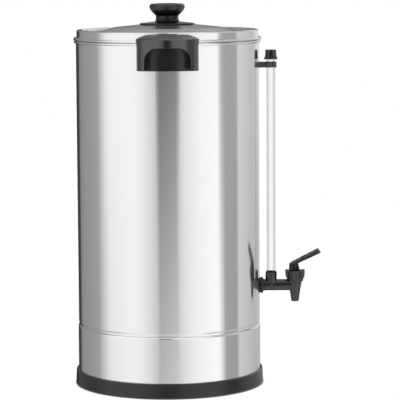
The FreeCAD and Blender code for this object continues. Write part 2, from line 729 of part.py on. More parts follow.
def make_wiring():
    panel = number("panel_angle")
    inlet = number("inlet_angle")
    middle = number(panel_height)
    deck = number(f"{block_top} + 0.6 * wire_size")
    bend = number("wire_bend")
    switch_back = number(f"{skirt_radius} + 1.6 - 8 - switch_depth")
    inlet_back = number(f"{skirt_radius} + 1.4 - inlet_depth - 7.5")
    strip = number("block_circle")
    well = number("well_radius")
    warm = number("warm_circle")
    warm_end = number(f"{warm_height} - 3.2 * warm_tube")
    heater_end = number(f"{heater_top} - 15.2")
    runs = [
        [spot(inlet_back, inlet, middle + 2.5), spot(inlet_back - bend, inlet, middle + 2.5),
         spot(strip + 1.25 * bend, 104, middle - 0.85 * bend), spot(strip + 2, 112, deck + 0.7 * bend),
         spot(strip + 2, 112, deck)],
        [spot(switch_back, panel, middle - 8), spot(switch_back - bend, panel, middle - 8),
         spot(strip + 1.4 * bend, 62, middle - bend), spot(strip + 2, 88, deck + 0.7 * bend),
         spot(strip + 2, 88, deck)],
        [spot(strip - 4, 104, deck), spot(strip - 4, 104, deck + 0.75 * bend),
         spot(well + 1.35 * bend, 130, deck + 1.5 * bend),
         spot(well - 6.5, 150, heater_end - 0.9 * bend), spot(well - 6.5, 150, heater_end)],
        [spot(strip - 4, 96, deck), spot(strip - 4, 96, deck + 0.75 * bend),
         spot(strip + 0.9 * bend, 140, deck + 1.65 * bend),
         spot(warm, warm_angles[0], warm_end - bend), spot(warm, warm_angles[0], warm_end)],
    ]
    wiring = document.addObject("Part::Feature", "Wiring")
    wiring.Shape = Part.makeCompound([wire_run(points, number("wire_size")) for points in runs])
    keep(wiring, "wiring")


# Handles: a convex block hollowed from below, with a sloping top

def handle_ring(half, front, back, bulge, corner, height):
    """Plan of a handle that faces -Y: back line, sides, rounded corners and bulging front."""
    centre = -(front - bulge)
    corner_x = half - corner
    corner_y = centre - math.sqrt((bulge - corner) ** 2 - corner_x ** 2)
    slope = math.atan2(corner_y - centre, corner_x)
    touch = FreeCAD.Vector(bulge * math.cos(slope), centre + bulge * math.sin(slope), height)
    halfway = slope / 2
    bend = FreeCAD.Vector(corner_x + corner * math.cos(halfway), corner_y + corner * math.sin(halfway), height)
    side = FreeCAD.Vector(half, corner_y, height)
    rear = FreeCAD.Vector(half, -back, height)

    def mirrored(point):
        return FreeCAD.Vector(-point.x, point.y, point.z)

    return Part.Wire([
        Part.LineSegment(mirrored(rear), rear).toShape(),
        Part.LineSegment(rear, side).toShape(),
        Part.Arc(side, bend, touch).toShape(),
        Part.Arc(touch, FreeCAD.Vector(0, -front, height), mirrored(touch)).toShape(),
        Part.Arc(mirrored(touch), mirrored(bend), mirrored(side)).toShape(),
        Part.LineSegment(mirrored(side), mirrored(rear)).toShape(),
    ])


def make_handle(label, angle):
    low = number(handle_base)
    brow = number(handle_brow)
    front = number(handle_front)
    back = number("tank_radius - 12")
    rim_clear = number(f"{lid_edge} + free_gap + fit_gap")
    shoulder = brow - number("handle_flare_height")
    plan = handle_ring(number("handle_half"), front, back, number("handle_bulge"),
                       number("handle_corner"), low)
    shoulder_plan = plan.translated(FreeCAD.Vector(0, 0, shoulder - low))
    brow_plan = handle_ring(number("handle_half + handle_flare"), front, back, number("handle_bulge"),
                            number("handle_corner"), brow)
    roof_front = rim_clear + number("handle_roof_depth")
    roof_half = number("handle_roof_half")
    roof_corner = number("handle_roof_depth") / 2
    roof_levels = 5
    roof_plans = []
    for level in range(roof_levels + 1):
        rise = level / roof_levels
        # How much of the brow's plan is left at this level; it draws in faster towards the top
        share = 1 - rise ** 1.7
        curve = share / number("handle_bulge") + (1 - share) / number("handle_roof_bulge")
        roof_plans.append(handle_ring(
            roof_half + share * (number("handle_half + handle_flare") - roof_half),
            roof_front + share * (front - roof_front),
            back,
            1 / curve,
            roof_corner + share * (number("handle_corner") - roof_corner),
            brow + rise * number("handle_roof"),
        ))
    roof = Part.makeLoft(roof_plans, True, True)
    flare = Part.makeLoft([shoulder_plan, brow_plan], True, True)
    bar = Part.Face(plan).extrude(FreeCAD.Vector(0, 0, shoulder - low)).fuse(flare).fuse(roof)
    hanging = number("handle_back_drop")
    wall = Part.makeBox(2 * number("recess_half") + 2, 40, hanging + 1)
    wall.translate(FreeCAD.Vector(-number("recess_half") - 1, -number("tank_radius + 20"), low - hanging))
    outer = Part.makeCylinder(number("tank_radius + handle_back"), hanging + 1,
                              FreeCAD.Vector(0, 0, low - hanging))
    blank = document.addObject("Part::Feature", "HandleBlock")
    blank.Shape = bar.fuse(wall.common(outer))

    span = "(handle_reach + 30)"
    arch = document.addObject("Part::Box", "Arch")
    tie(arch, {"Length": "2 * recess_half", "Width": span, "Height": "recess_height + 20"})
    place(arch, ("-recess_half", f"-(tank_radius - 10) - {span}", f"{handle_base} - 20"))
    arch_round = softened(arch, lambda edge: abs(edge.BoundBox.YLength) > 1 and edge.BoundBox.ZMin > low,
                          "recess_corner")
    recess = cut(arch_round, rod("tank_radius + handle_back", "200", ("0", "0", f"{handle_base} - 60")))
    tank_tool = rod("tank_radius + fit_gap", "200", ("0", "0", f"{handle_base} - 60"))
    lid_tool = rod(f"{lid_edge} + free_gap + fit_gap", "60",
                   ("0", "0", "rim_height - bead_size / 2 - free_gap - fit_gap"))
    screw_tools = [rod("handle_screw_radius + fit_gap / 2", "handle_screw_length + 10",
                       polar("tank_radius - 10", f"-90 + {sign} * handle_screw_spread", screw_height),
                       "out", number(f"-90 + {sign} * handle_screw_spread")) for sign in (-1, 1)]
    handle = cut(blank, recess, tank_tool, lid_tool, *screw_tools)
    handle.Placement = FreeCAD.Placement(FreeCAD.Vector(), FreeCAD.Rotation(FreeCAD.Vector(0, 0, 1), angle))
    keep(handle, label)


def make_handle_fixings():
    screws = []
    seals = []
    seal_thickness = "1.2"
    for side in handle_sides:
        for sign in (-1, 1):
            formula = handle_screw_angle(side, sign)
            angle = number(formula)
            seal_end = f"({tank_inside} - 0.25)"
            head_end = f"({seal_end} - {seal_thickness} - 0.05)"
            head = rod("handle_screw_radius + 2", "2.4", polar(f"{head_end} - 2.4", formula, screw_height),
                       "out", angle)
            shank = rod("handle_screw_radius", f"tank_radius + handle_screw_length - {head_end}",
                        polar(head_end, formula, screw_height), "out", angle)
            slot = block("1.2", "7", "1", (f"{head_end} - 2.4", screw_height), angle)
            screws.append(cut(joined(head, shank), slot))
            washer = rod("handle_screw_radius + 2.6", seal_thickness,
                         polar(f"{seal_end} - {seal_thickness}", formula, screw_height), "out", angle)
            hole = rod("handle_screw_radius + fit_gap", "9", polar(f"{seal_end} - 5", formula, screw_height),
                       "out", angle)
            seals.append(cut(washer, hole))
    keep(group(*screws), "handle_screws")
    keep(group(*seals), "handle_seals")


# Lid: pressed shell, heat guard, knob and its screw

def make_lid():
    wall_in = f"({lid_wall} - lid_sheet)"
    channel_out = f"({lid_crest_in} - lid_channel_drop)"
    spigot = f"({tank_inside} - free_gap - 0.2)"
    bore = "(knob_screw_radius + fit_gap)"
    bead_top = f"({lid_seat} + lid_bead)"
    lid = turned("lid", [
        (spigot, f"{lid_seat} - spigot_drop"),
        (spigot, lid_seat),
        (lid_edge, lid_seat),
        (lid_edge, bead_top),
        (lid_wall, bead_top),
        (lid_wall, lid_crest),
        (lid_crest_in, lid_crest),
        (channel_out, lid_channel),
        (lid_channel_in, lid_channel),
        (lid_step_in, lid_step_top),
        ("lid_boss", lid_top),
        (bore, lid_top),
        (bore, f"{lid_top} - lid_sheet"),
        ("lid_boss", f"{lid_top} - lid_sheet"),
        (f"{lid_step_in} + 0.2 * lid_sheet", f"{lid_step_top} - lid_sheet"),
        (f"{lid_channel_in} + 0.2 * lid_sheet", f"{lid_channel} - lid_sheet"),
        (f"{channel_out} + 0.3 * lid_sheet", f"{lid_channel} - lid_sheet"),
        (f"{lid_crest_in} + 0.3 * lid_sheet", f"{lid_crest} - lid_sheet"),
        (wall_in, f"{lid_crest} - lid_sheet"),
        (wall_in, f"{lid_seat} + lid_sheet"),
        (f"{spigot} - lid_sheet", f"{lid_seat} + lid_sheet"),
        (f"{spigot} - lid_sheet", f"{lid_seat} - spigot_drop"),
    ])
    rounded(lid, [(lid_wall, lid_crest)], "lid_round")
    rounded(lid, [(wall_in, f"{lid_crest} - lid_sheet")], "max(lid_round - lid_sheet; lid_sheet / 4)")
    rounded(lid, [(lid_edge, lid_seat), (lid_edge, bead_top)], "lid_bead * 0.45")
    rounded(lid, [(lid_channel_in, lid_channel), (channel_out, lid_channel)], "lid_channel_drop")
    rounded(lid, [(lid_step_in, lid_step_top)], "3 * lid_step_rise")
    keep(lid, "lid")


def make_knob():
    bore = "(knob_screw_radius + fit_gap)"
    rim_drop = f"(guard_radius - lid_boss) * {cone_slope}"
    guard_low = f"({lid_top} + fit_gap)"
    guard = turned("knob_guard", [
        (bore, guard_low),
        ("lid_boss", guard_low),
        ("guard_radius", f"{guard_low} - {rim_drop}"),
        ("guard_radius", f"{guard_low} - {rim_drop} + guard_sheet"),
        ("lid_boss", f"{guard_low} + guard_sheet"),
        (bore, f"{guard_low} + guard_sheet"),
    ])
    rounded(guard, [("guard_radius", f"{guard_low} - {rim_drop} + guard_sheet")], "guard_sheet * 0.45")
    keep(guard, "knob_guard")

    neck_top = f"({knob_seat} + knob_neck_height)"
    rim_line = f"({knob_seat} + knob_rim_height)"
    knob_top = f"({rim_line} + knob_crown)"
    bowl = "(knob_rim_height - knob_neck_height)"
    bowl_corner = ("knob_neck + (knob_radius - knob_neck) * 0.89", f"{neck_top} + {bowl} * 0.574")
    shoulder = ("knob_radius - knob_crown * 0.38", f"{rim_line} + knob_crown * 0.7")
    screw_top = f"({knob_seat} + knob_screw_depth)"
    knob = turned("lid_knob", [
        ("knob_screw_radius + fit_gap / 2", knob_seat),
        ("knob_neck + 1.1", knob_seat),
        ("knob_neck + 1.1", f"{knob_seat} + knob_neck_height * 0.12"),
        ("knob_neck - 0.1", f"{knob_seat} + knob_neck_height * 0.36"),
        ("knob_neck", neck_top),
        bowl_corner,
        ("knob_radius", rim_line),
        shoulder,
        ("knob_radius / 2", f"{rim_line} + knob_crown * 0.93"),
        ("0", knob_top),
        ("0", screw_top),
        ("knob_screw_radius + fit_gap / 2", screw_top),
    ])
    rounded(knob, [bowl_corner], f"{bowl} * 1.15")
    rounded(knob, [shoulder], "knob_crown / 2")
    rounded(knob, [("knob_radius", rim_line)], "knob_crown / 8")
    keep(knob, "lid_knob")

    under = f"({lid_top} - lid_sheet)"
    washer_low = f"({under} - fit_gap - 1)"
    washer = rod("7", "1", ("0", "0", washer_low))
    keep(cut(washer, rod(bore, "3", ("0", "0", f"{washer_low} - 1"))), "knob_washer")
    head_top = f"({washer_low} - fit_gap)"
    head = rod("knob_screw_radius + 2.2", "3", ("0", "0", f"{head_top} - 3"))
    shank = rod("knob_screw_radius", f"{screw_top} - 1 - {head_top}", ("0", "0", head_top))
    slot = block("12", "1.2", "1.4", ("-6", f"{head_top} - 2.4"))
    keep(cut(joined(head, shank), slot), "knob_screw")


# Sight glass: tube, seal, bracket, cap

seal_radius = "(tube_radius + fit_gap + seal_wall)"
seal_floor = f"({socket_top} - seal_depth)"
tube_base = f"({seal_floor} + 1)"


def make_gauge():
    at_axis = (gauge_axis, "0")
    tube = rod("tube_radius", f"{tube_top} - {tube_base}", (*at_axis, tube_base))
    tube_hole = rod("tube_radius - tube_wall", f"{tube_top} - {tube_base} + 4",
                    (*at_axis, f"{tube_base} - 2"))
    keep(cut(tube, tube_hole), "gauge_tube")

    seal = rod(seal_radius, "seal_depth - 0.4", (*at_axis, f"{seal_floor}"))
    lip = rod(f"{seal_radius} + 0.2", "1.2", (*at_axis, f"{socket_top} + 0.1"))
    neck = rod(seal_radius, "1", (*at_axis, f"{socket_top} - 0.5"))
    seal_hole = rod("tube_radius + fit_gap", "30", (*at_axis, tube_base))
    feed = rod("tube_radius - tube_wall", "6", (*at_axis, f"{seal_floor} - 2"))
    keep(cut(joined(seal, neck, lip), seal_hole, feed), "gauge_seal")

    low = f"({bracket_height_middle} - bracket_height / 2)"
    sleeve = rod("tube_radius + fit_gap + bracket_wall", "bracket_height", (*at_axis, low))
    arm = block("gauge_reach", "bracket_width - 3", "bracket_height",
                ("tank_radius - 1", bracket_height_middle))
    pad = block("5", "bracket_width + 3", "bracket_height", ("tank_radius - 2", bracket_height_middle))
    bore = rod("tube_radius + fit_gap", "bracket_height + 4", (*at_axis, f"{low} - 2"))
    wall_tool = rod("tank_radius + fit_gap", "40", ("0", "0", f"{bracket_height_middle} - 20"))
    screw_tool = rod("1.65", "16", ("tank_radius - 8", "0", bracket_height_middle), "out")
    split = document.addObject("Part::Box", "Split")
    split_depth = "(tube_radius + bracket_wall + 2)"
    tie(split, {"Length": "bracket_split", "Width": split_depth, "Height": "bracket_height + 4"})
    place(split, (f"{gauge_axis} + bracket_split_reach - bracket_split / 2", f"-{split_depth}", f"{low} - 2"))
    keep(cut(joined(sleeve, arm, pad), bore, wall_tool, screw_tool, split), "gauge_bracket")

    seal_end = f"({tank_inside} - 0.1)"
    head_end = f"({seal_end} - 1.05)"
    head = rod("3.4", "2", (f"{head_end} - 2", "0", bracket_height_middle), "out")
    shank = rod("1.6", f"tank_radius + 7 - {head_end}", (head_end, "0", bracket_height_middle), "out")
    slot = block("1", "8", "0.9", (f"{head_end} - 2", bracket_height_middle))
    keep(cut(joined(head, shank), slot), "bracket_screw")
    washer = rod("4", "1", (f"{seal_end} - 1", "0", bracket_height_middle), "out")
    washer_hole = rod("1.7", "6", (f"{seal_end} - 4", "0", bracket_height_middle), "out")
    keep(cut(washer, washer_hole), "bracket_seal")

    flange = rod("cap_flange", "cap_flange_height", (*at_axis, cap_base))
    flange_round = softened(flange, lambda edge: edge.BoundBox.ZLength < 0.1, "cap_flange_height / 4")
    crown = new_body("cap_crown")
    sections = []
    for level, radius in (("0", "cap_radius"), ("cap_height", "(cap_radius - cap_taper)")):
        points = []
        for turn in range(0, 360, 30):
            for offset, reach in ((-8, radius), (8, radius), (15, f"({radius} - cap_groove)")):
                points.append((f"{reach} * cos({turn + offset})", f"{reach} * sin({turn + offset})"))
        sections.append(outline(crown, "XY_Plane", points, level))
    loft = crown.newObject("PartDesign::AdditiveLoft", "Loft")
    loft.Profile = sections[0]
    loft.Sections = sections[1:]
    loft.Ruled = True
    crown.Tip = loft
    place(crown, (*at_axis, cap_base))
    inside = rod("tube_radius + free_gap", f"{tube_top} - {cap_base} + free_gap + 1",
                 (*at_axis, f"{cap_base} - 1"))
    vent = rod("1", "cap_height + 2", (*at_axis, cap_base))
    keep(cut(joined(flange_round, crown), inside, vent), "gauge_cap")


# Tap: body with socket and spout, gaskets, nut, valve and lever

waist_level = "(0 - shank_radius - 3 * fit_gap)"


def make_tap_body():
    at_valve = (valve_axis, "0")
    shell = turned("tap_valve", [
        ("0", "-spout_drop"),
        ("spout_radius", "-spout_drop"),
        ("spout_waist", waist_level),
        ("valve_top", "valve_shoulder"),
        ("valve_bore + 1.9", "valve_shoulder"),
        ("valve_bore + 1.9", "valve_shoulder + bonnet_height - 4"),
        ("0", "valve_shoulder + bonnet_height - 4"),
    ])
    rounded(shell, [("spout_radius", "-spout_drop")], "0.5")
    place(shell, (*at_valve, tap_height))
    flange_start = "(tank_radius + gasket_width)"
    flange = rod("tap_flange", "tap_flange_width", (flange_start, "0", tap_height), "out")
    flange_round = softened(flange, lambda edge: edge.BoundBox.XLength < 0.1, "tap_flange_width * 0.4")
    collar = rod("tap_collar", "tap_flange_width + 2.2", (flange_start, "0", tap_height), "out")
    shank = rod("shank_radius", "valve_reach - gasket_width", (flange_start, "0", tap_height), "out")
    thread_start = "(tank_radius - tank_sheet - nut_width - 5)"
    thread = rod("tap_thread", f"{flange_start} - {thread_start} + 0.5",
                 (thread_start, "0", tap_height), "out")
    socket = rod("socket_radius", "socket_rise", (gauge_axis, "0", tap_height))
    outside = joined(shell, flange_round, collar, shank, thread, socket)

    bore = rod("shank_bore", f"{valve_axis} - {thread_start} + 1",
               (f"{thread_start} - 1", "0", tap_height), "out")
    chamber = turned("tap_chamber", [
        ("0", "-spout_drop - 1"),
        ("spout_bore", "-spout_drop - 1"),
        ("spout_bore", "-8.5"),
        ("spout_bore + 1.3", "-6.5"),
        ("valve_bore", "-1.5"),
        ("valve_bore", "valve_shoulder + bonnet_height"),
        ("0", "valve_shoulder + bonnet_height"),
    ])
    place(chamber, (*at_valve, tap_height))
    seal_bore = rod(f"{seal_radius} + fit_gap / 2", "seal_depth + 1",
                    (gauge_axis, "0", f"{seal_floor} - 0.05"))
    feed = rod("3", "socket_rise", (gauge_axis, "0", tap_height))
    keep(cut(outside, bore, chamber, seal_bore, feed), "tap_body")

    wall_tool = rod("tank_radius + 0.05", "60", ("0", "0", f"{tap_height} - 30"))
    gasket = rod("tap_flange - 0.8", "gasket_width + 2", ("tank_radius - 2", "0", tap_height), "out")
    gasket_end = rod("30", "10", (f"{flange_start} - 0.05", "0", tap_height), "out")
    thread_tool = rod("tap_thread + fit_gap", "20", ("tank_radius - 10", "0", tap_height), "out")
    keep(cut(gasket, wall_tool, gasket_end, thread_tool), "tap_outer_gasket")

    inner_end = "(tank_radius - tank_sheet - 2.6)"
    inner = rod("tap_flange - 0.8", "4", (inner_end, "0", tap_height), "out")
    inner_wall = cut(rod("tank_radius + 30", "60", ("0", "0", f"{tap_height} - 30")),
                     rod(f"{tank_inside} - 0.05", "60", ("0", "0", f"{tap_height} - 30")))
    keep(cut(inner, inner_wall, thread_tool), "tap_inner_gasket")

    nut = hexagon("nut_flats", "nut_width")
    place(nut, (f"{inner_end} - 0.05 - nut_width", "0", tap_height), "out")
    keep(cut(nut, thread_tool), "tap_nut")


def make_valve():
    at_valve = (valve_axis, "0")
    sleeve = turned("tap_bonnet", [
        ("valve_bore + 1.9 + fit_gap", "valve_shoulder + fit_gap"),
        ("bonnet_radius", "valve_shoulder + fit_gap"),
        ("bonnet_radius", "valve_shoulder + bonnet_height - 0.4"),
        ("stem_radius + 0.3", "valve_shoulder + bonnet_height - 0.4"),
        ("stem_radius + 0.3", "valve_shoulder + bonnet_height - 3.2"),
        ("valve_bore + 1.9 + fit_gap", "valve_shoulder + bonnet_height - 3.2"),
    ])
    place(sleeve, (*at_valve, tap_height))
    wing_levels = (
        ("valve_shoulder + bonnet_height + fit_gap", "wing_reach", "wing_width"),
        ("valve_shoulder + 1.6", "wing_reach - 0.5", "wing_width - 1.2"),
        ("valve_shoulder - 0.6", "valve_top + 1", "wing_width - 2.6"),
        ("valve_shoulder - 4.6", "valve_top + 0.1", "wing_width - 5.4"),
    )
    wing = new_body("tap_wing")
    sketches = []
    for level, reach, width in wing_levels:
        inside = "(valve_top - 1.4)"
        sketches.append(outline(wing, "XY_Plane", [
            (inside, f"-({width}) / 2"),
            (reach, f"-({width}) / 2 + 1"),
            (reach, f"({width}) / 2 - 1"),
            (inside, f"({width}) / 2"),
        ], level))
    loft = wing.newObject("PartDesign::AdditiveLoft", "Loft")
    loft.Profile = sketches[0]
    loft.Sections = sketches[1:]
    loft.Ruled = True
    wing.Tip = loft
    four = wing.newObject("PartDesign::PolarPattern", "Wings")
    four.Originals = [loft]
    four.Axis = (plane_of(wing, "Z_Axis"), [""])
    four.Angle = 360
    four.Occurrences = 4
    wing.Tip = four
    place(wing, (*at_valve, tap_height))
    body_clear = turned("tap_wing_clear", [
        ("0", waist_level),
        ("spout_waist + 2 * fit_gap", waist_level),
        ("valve_top + 2 * fit_gap", "valve_shoulder"),
        ("valve_top + 2 * fit_gap", "valve_shoulder + fit_gap"),
        ("0", "valve_shoulder + fit_gap"),
    ])
    place(body_clear, (*at_valve, tap_height))
    shank_clear = rod("shank_radius + 3 * fit_gap", "valve_reach", ("tank_radius", "0", tap_height), "out")
    keep(cut(joined(sleeve, wing), body_clear, shank_clear), "tap_bonnet")

    collar_height = 1.2
    stem = turned("tap_stem", [
        ("0", "-4"),
        ("stem_radius - 0.6", "-4"),
        ("stem_radius - 0.6", "1.5"),
        ("valve_bore - free_gap - 0.2", "1.5"),
        ("valve_bore - free_gap - 0.2", f"1.5 + {collar_height}"),
        ("stem_radius", f"1.5 + {collar_height}"),
        ("stem_radius", "pin_rise + 2.4"),
        ("stem_radius - 0.8", "pin_rise + 3.2"),
        ("0", "pin_rise + 3.2"),
    ])
    place(stem, (*at_valve, tap_height))
    pin_tool = rod("pin_radius + fit_gap / 2", "30", (valve_axis, "-15", pin_height), "across")
    keep(cut(stem, pin_tool), "tap_stem")

    cup = turned("tap_seat_cup", [
        ("0", "-8.5"),
        ("spout_bore - 0.3", "-8.5"),
        ("spout_bore + 1", "-6.5"),
        ("valve_bore - 1.6", "-2"),
        ("valve_bore - 1.6", "1.3"),
        ("stem_radius - 0.5", "1.3"),
        ("stem_radius - 0.5", "-4.1"),
        ("0", "-4.1"),
    ])
    place(cup, (*at_valve, tap_height))
    keep(cup, "tap_seat_cup")

    pin = rod("pin_radius", "pin_length", (valve_axis, "-pin_length / 2", pin_height), "across")
    keep(pin, "lever_pin")

    coil = new_body("tap_spring")
    spring_low = f"(1.5 + {collar_height} + fit_gap + spring_wire / 2)"
    spring_high = "(valve_shoulder + bonnet_height - 3.2 - fit_gap - spring_wire / 2)"
    section = coil.newObject("Sketcher::SketchObject", "Wire")
    section.AttachmentSupport = [(plane_of(coil, "XZ_Plane"), "")]
    section.MapMode = "FlatFace"
    centre = FreeCAD.Vector(number("valve_bore - 1.4"), number(spring_low), 0)
    section.addGeometry(Part.Circle(centre, FreeCAD.Vector(0, 0, 1), number("spring_wire / 2")), False)
    for kind, formula, amount in (("DistanceX", "valve_bore - 1.4", centre.x),
                                  ("DistanceY", spring_low, centre.y)):
        spot_index = section.addConstraint(Sketcher.Constraint(kind, -1, 1, 0, 3, amount))
        section.setExpression(f"Constraints[{spot_index}]", linked(formula))
    radius_index = section.addConstraint(Sketcher.Constraint("Radius", 0, number("spring_wire / 2")))
    section.setExpression(f"Constraints[{radius_index}]", linked("spring_wire / 2"))
    helix = coil.newObject("PartDesign::AdditiveHelix", "Coil")
    helix.Profile = section
    helix.ReferenceAxis = (section, ["V_Axis"])
    helix.Mode = "pitch-height-angle"
    tie(helix, {"Height": f"{spring_high} - {spring_low}", "Pitch": f"({spring_high} - {spring_low}) / 5"})
    coil.Tip = helix
    place(coil, (*at_valve, tap_height))
    keep(coil, "tap_spring")


def make_lever():
    cheek = prism("lever_cheek", "XZ_Plane", [
        ("-7.6", "-4.6"),
        ("4.9", "-4.6"),
        ("5.8", "-3.0"),
        ("4.6", "2.6"),
        ("3.9", "5.4"),
        ("-3.6", "5.9"),
        ("-7.4", "3.6"),
    ], "lever_width")
    tip_x, tip_z = "paddle_length", "paddle_rise"
    thick_x, thick_z = "3.1", "4.3"
    paddle = prism("lever_paddle", "XZ_Plane", [
        ("3.0", "5.1"),
        (tip_x, tip_z),
        (f"{tip_x} - {thick_x}", f"{tip_z} + {thick_z}"),
        ("-3.8", "5.7"),
        ("-3.0", "4.0"),
    ], "paddle_width")
    slot = prism("lever_slot", "XZ_Plane", [
        ("-(stem_radius + 1.2)", "-8"),
        ("stem_radius + 8", "-8"),
        ("stem_radius + 8", "1.2"),
        ("stem_radius + 1.2", "4.6"),
        ("-(stem_radius - 1)", "4.6"),
        ("-(stem_radius + 1.2)", "3.2"),
    ], "2 * (stem_radius + free_gap)")
    dish = prism("lever_dish", "XZ_Plane", [
        (f"{tip_x} - {thick_x} - 2.6", f"{tip_z} + {thick_z} - 0.15"),
        (f"{tip_x} - {thick_x} - 4", f"{tip_z} + {thick_z} + 4"),
        ("7.5", "14.6"),
        ("8.2", "10.9"),
    ], "paddle_width - 4")
    pin_tool = rod("pin_radius + fit_gap / 2", "30", ("0", "-15", "0"), "across")
    dimples = [rod("pin_radius + 1.6", "4", ("0", start, "0"), "across")
               for start in ("pin_length / 2 - 0.6", "-(pin_length / 2 - 0.6) - 4")]
    blank = joined(cheek, paddle)
    ends = softened(blank, lambda edge: edge.BoundBox.XMin > number(f"{tip_x} - 4")
                    and edge.BoundBox.YLength < 0.1 and edge.BoundBox.ZLength > 3, "3.5")
    lever = cut(ends, slot, dish, pin_tool, *dimples)
    place(lever, (valve_axis, "0", pin_height))
    keep(lever, "tap_lever")


# Brewing parts inside: pump, valve, basket and spreader

def make_brewer():
    foot_low = f"({well_floor} + fit_gap)"
    tube_low = f"({foot_low} + 9)"
    tube_end = "(rim_height - pump_drop)"
    tube_body = rod("pump_radius", f"{tube_end} - {tube_low}", ("0", "0", tube_low))
    stop = rod("pump_radius + 2.4", "1.6", ("0", "0", f"{basket_floor} - fit_gap - 1.6"))
    tube_bore = rod("pump_radius - pump_wall", "1000", ("0", "0", f"{tube_low} - 10"))
    keep(cut(joined(tube_body, stop), tube_bore), "pump_tube")

    foot = turned("pump_foot", [
        ("pump_skirt - 1", foot_low),
        ("pump_skirt", foot_low),
        ("pump_skirt", f"{foot_low} + 4"),
        ("pump_radius + 1.1", f"{foot_low} + 11"),
        ("pump_radius + 1.1", f"{foot_low} + 17"),
        ("pump_radius + fit_gap / 2", f"{foot_low} + 17"),
        ("pump_radius + fit_gap / 2", f"{foot_low} + 8.9"),
        ("pump_radius - 1.4", f"{foot_low} + 8.9"),
        ("pump_radius - 1.4", f"{foot_low} + 7.6"),
        ("pump_radius + 1.1", f"{foot_low} + 7.6"),
        ("pump_skirt - 1", f"{foot_low} + 3.6"),
    ])
    notches = [block("8", "5", "4", ("pump_skirt - 4", f"{foot_low} + 1"), angle) for angle in (0, 120, 240)]
    keep(cut(foot, *notches), "pump_foot")
    valve = rod("pump_radius + 2.5", "1", ("0", "0", f"{foot_low} + 2.6"))
    keep(cut(valve, *[rod("1", "4", polar("pump_radius", angle, foot_low)) for angle in (0, 120, 240)]),
         "pump_valve")

    hub_top = f"({basket_floor} + basket_height)"
    basket = turned("coffee_basket", [
        ("pump_radius + free_gap", basket_floor),
        ("basket_radius", basket_floor),
        ("basket_radius", f"{hub_top}"),
        ("basket_radius - basket_sheet", f"{hub_top}"),
        ("basket_radius - basket_sheet", f"{basket_floor} + basket_sheet"),
        ("basket_hub", f"{basket_floor} + basket_sheet"),
        ("basket_hub", f"{hub_top} - 8"),
        ("pump_radius + free_gap", f"{hub_top} - 8"),
    ])
    rounded(basket, [("basket_radius", basket_floor)], "3")
    holes = []
    for circle, count in ((20, 12), (34, 18), (48, 24)):
        for index in range(count):
            holes.append(rod("1.3", "6", polar(str(circle), 360 * index / count, f"{basket_floor} - 2")))
    keep(cut(basket, *holes), "coffee_basket")

    lip_low = f"({hub_top} + free_gap)"
    spreader = turned("basket_spreader", [
        ("pump_radius + free_gap", f"{lip_low} + 3"),
        ("basket_hub", f"{lip_low} + 3"),
        ("basket_radius - 8", f"{lip_low} - 3"),
        ("basket_radius - basket_sheet - 1", f"{lip_low} - 3"),
        ("basket_radius - basket_sheet - 1", lip_low),
        ("basket_radius", lip_low),
        ("basket_radius", f"{lip_low} + basket_sheet"),
        ("basket_radius - 2 * basket_sheet - 1", f"{lip_low} + basket_sheet"),
        ("basket_radius - 2 * basket_sheet - 1", f"{lip_low} - 3 + basket_sheet"),
        ("basket_radius - 8", f"{lip_low} - 3 + basket_sheet"),
        ("basket_hub", f"{lip_low} + 3 + basket_sheet"),
        ("pump_radius + free_gap", f"{lip_low} + 3 + basket_sheet"),
    ])
    spots = []
    for circle, count in ((16, 8), (28, 12), (40, 16), (52, 20)):
        for index in range(count):
            spots.append(rod("1.3", "16", polar(str(circle), 360 * index / count, f"{lip_low} - 8")))
    keep(cut(spreader, *spots), "basket_spreader")


make_base()
make_skirt()
make_tank()
make_heaters()
make_controls()
make_wiring()
make_handle("left_handle", 0)
make_handle("right_handle", 180)
make_handle_fixings()
make_lid()
make_knob()
make_gauge()
make_tap_body()
make_valve()
make_lever()
make_brewer()
document.recompute()

faults = [item.Label for item in document.Objects if "Invalid" in item.State or "Error" in item.State]
for label, piece in nodes.items():
    if piece.Shape.isNull() or not piece.Shape.isValid() or not piece.Shape.Solids:
        faults.append(label)
if faults:
    raise RuntimeError("these objects failed: " + ", ".join(sorted(set(faults))))

os.makedirs("parts", exist_ok=True)
for label, piece in nodes.items():
    piece.Shape.exportStep(os.path.join("parts", label + ".step"))
    box = piece.Shape.BoundBox
    print(f"{label}: {len(piece.Shape.Solids)} solids, z {box.ZMin:.1f} to {box.ZMax:.1f}")
print(len(nodes), "nodes")
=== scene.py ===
import bpy
import math
from mathutils import Matrix, Vector

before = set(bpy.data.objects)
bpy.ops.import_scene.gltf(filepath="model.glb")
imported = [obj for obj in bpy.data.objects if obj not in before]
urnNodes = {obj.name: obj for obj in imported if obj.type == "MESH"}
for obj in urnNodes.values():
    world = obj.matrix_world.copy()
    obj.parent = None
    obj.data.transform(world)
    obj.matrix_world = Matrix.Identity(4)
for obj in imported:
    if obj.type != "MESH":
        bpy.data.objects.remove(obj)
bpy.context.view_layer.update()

print("frame loaded:", len(urnNodes), "nodes")


# Small helpers for the shader trees

noiseSpan = (0.3, 0.7)  # nearly all of a noise texture's values lie between these


def newMaterial(name):
    material = bpy.data.materials.new(name)
    material.use_nodes = True
    return material, material.node_tree, material.node_tree.nodes["Principled BSDF"]


def setSockets(node, values):
    for socket, value in values.items():
        node.inputs[socket].default_value = value


def mathNode(tree, operation, first, second=None):
    node = tree.nodes.new("ShaderNodeMath")
    node.operation = operation
    for index, value in enumerate((first, second)):
        if isinstance(value, (int, float)):
            node.inputs[index].default_value = value
        elif value is not None:
            tree.links.new(value, node.inputs[index])
    return node.outputs[0]


